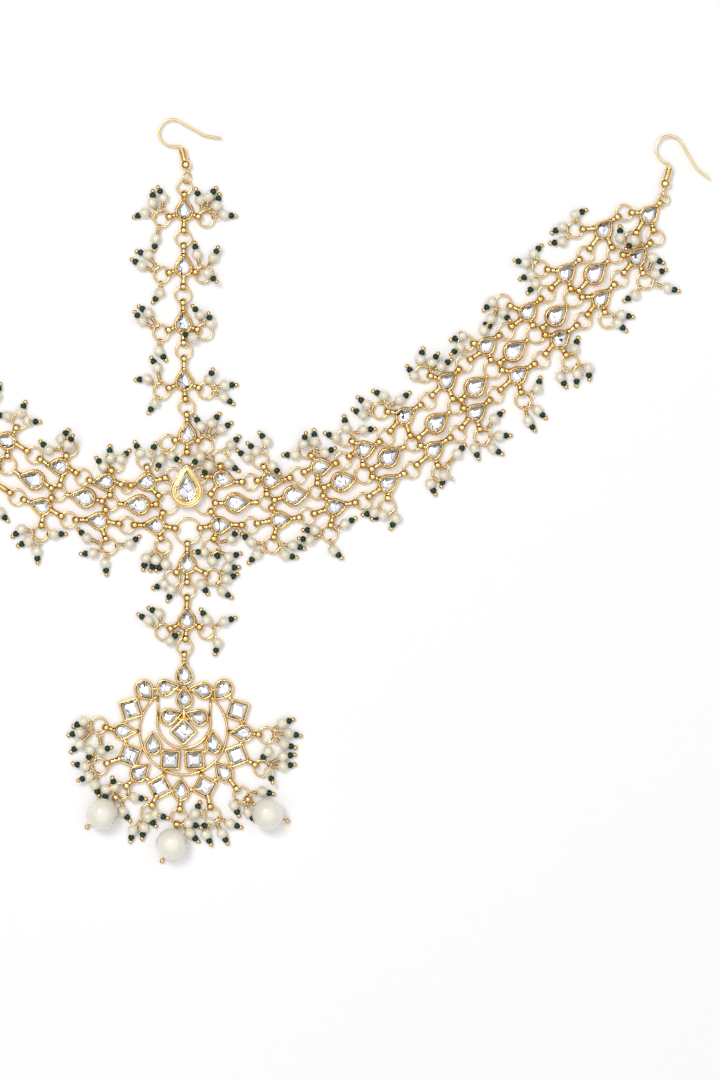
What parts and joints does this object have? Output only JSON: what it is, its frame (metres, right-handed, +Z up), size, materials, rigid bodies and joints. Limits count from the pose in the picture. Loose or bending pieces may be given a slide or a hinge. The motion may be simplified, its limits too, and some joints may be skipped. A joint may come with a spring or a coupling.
{
  "type": "matha patti",
  "caption": "Head ornament of linked gold drop settings with stones, pearl tassels and a round pendant, hooked into the hair.",
  "frame": {"origin": "middle of the centrepiece, on the flat underside of its foot", "axes": "+X along the arms towards the wearer's-left hook as laid, +Y up the centre line towards its hook, +Z up from the surface it lies on, out of the stones"},
  "size_m": [0.3354, 0.2384, 0.01],
  "materials": {
    "crystal": "faceted crystal on a pale foil",
    "drops": "pearl, dark green bead and gold ball on a gold pin",
    "gold_hook": "polished warm gold plating",
    "gold_links": "polished warm gold plating",
    "gold_pendant": "polished warm gold plating, hand-made",
    "gold_setting": "polished warm gold plating, hand-made",
    "pearl": "smooth pearl lustre"
  },
  "bodies": {
    "root": {"big_pearl_1": "pearl", "big_pearl_2": "pearl", "big_pearl_3": "pearl", "bottom_ring": "gold_links", "centre_hook": "gold_hook", "centre_hook_coil": "gold_hook", "centre_ring_0": "gold_links", "centre_ring_1": "gold_links", "centre_ring_2": "gold_links", "centre_ring_3": "gold_links", "centre_ring_4": "gold_links", "centre_ring_5": "gold_links", "centre_setting_1": "gold_setting", "centre_setting_2": "gold_setting", "centre_setting_3": "gold_setting", "centre_setting_4": "gold_setting", "centre_setting_5": "gold_setting", "centre_stone_1": "crystal", "centre_stone_2": "crystal", "centre_stone_3": "crystal", "centre_stone_4": "crystal", "centre_stone_5": "crystal", "centre_tassels": "drops", "centrepiece_setting": "gold_setting", "centrepiece_stone": "crystal", "left_arm_links": "gold_links", "left_arm_stones": "crystal", "left_bottom_settings": "gold_setting", "left_bottom_tassels": "drops", "left_hook": "gold_hook", "left_hook_coil": "gold_hook", "left_junction_ring": "gold_links", "left_middle_settings": "gold_setting", "left_top_settings": "gold_setting", "left_top_tassels": "drops", "pendant_frame": "gold_pendant", "pendant_ring": "gold_links", "pendant_stones": "crystal", "pendant_tassels": "drops", "right_arm_links": "gold_links", "right_arm_stones": "crystal", "right_bottom_settings": "gold_setting", "right_bottom_tassels": "drops", "right_hook": "gold_hook", "right_hook_coil": "gold_hook", "right_junction_ring": "gold_links", "right_middle_settings": "gold_setting", "right_top_settings": "gold_setting", "right_top_tassels": "drops", "tikka_ring_1": "gold_links", "tikka_setting_1": "gold_setting", "tikka_setting_2": "gold_setting", "tikka_stone_1": "crystal", "tikka_stone_2": "crystal", "tikka_tassel_1": "drops", "tikka_tassel_2": "drops", "tikka_tassel_3": "drops", "tikka_tassel_4": "drops", "upper_left_ring": "gold_links", "upper_right_ring": "gold_links"}
  },
  "joints": []
}
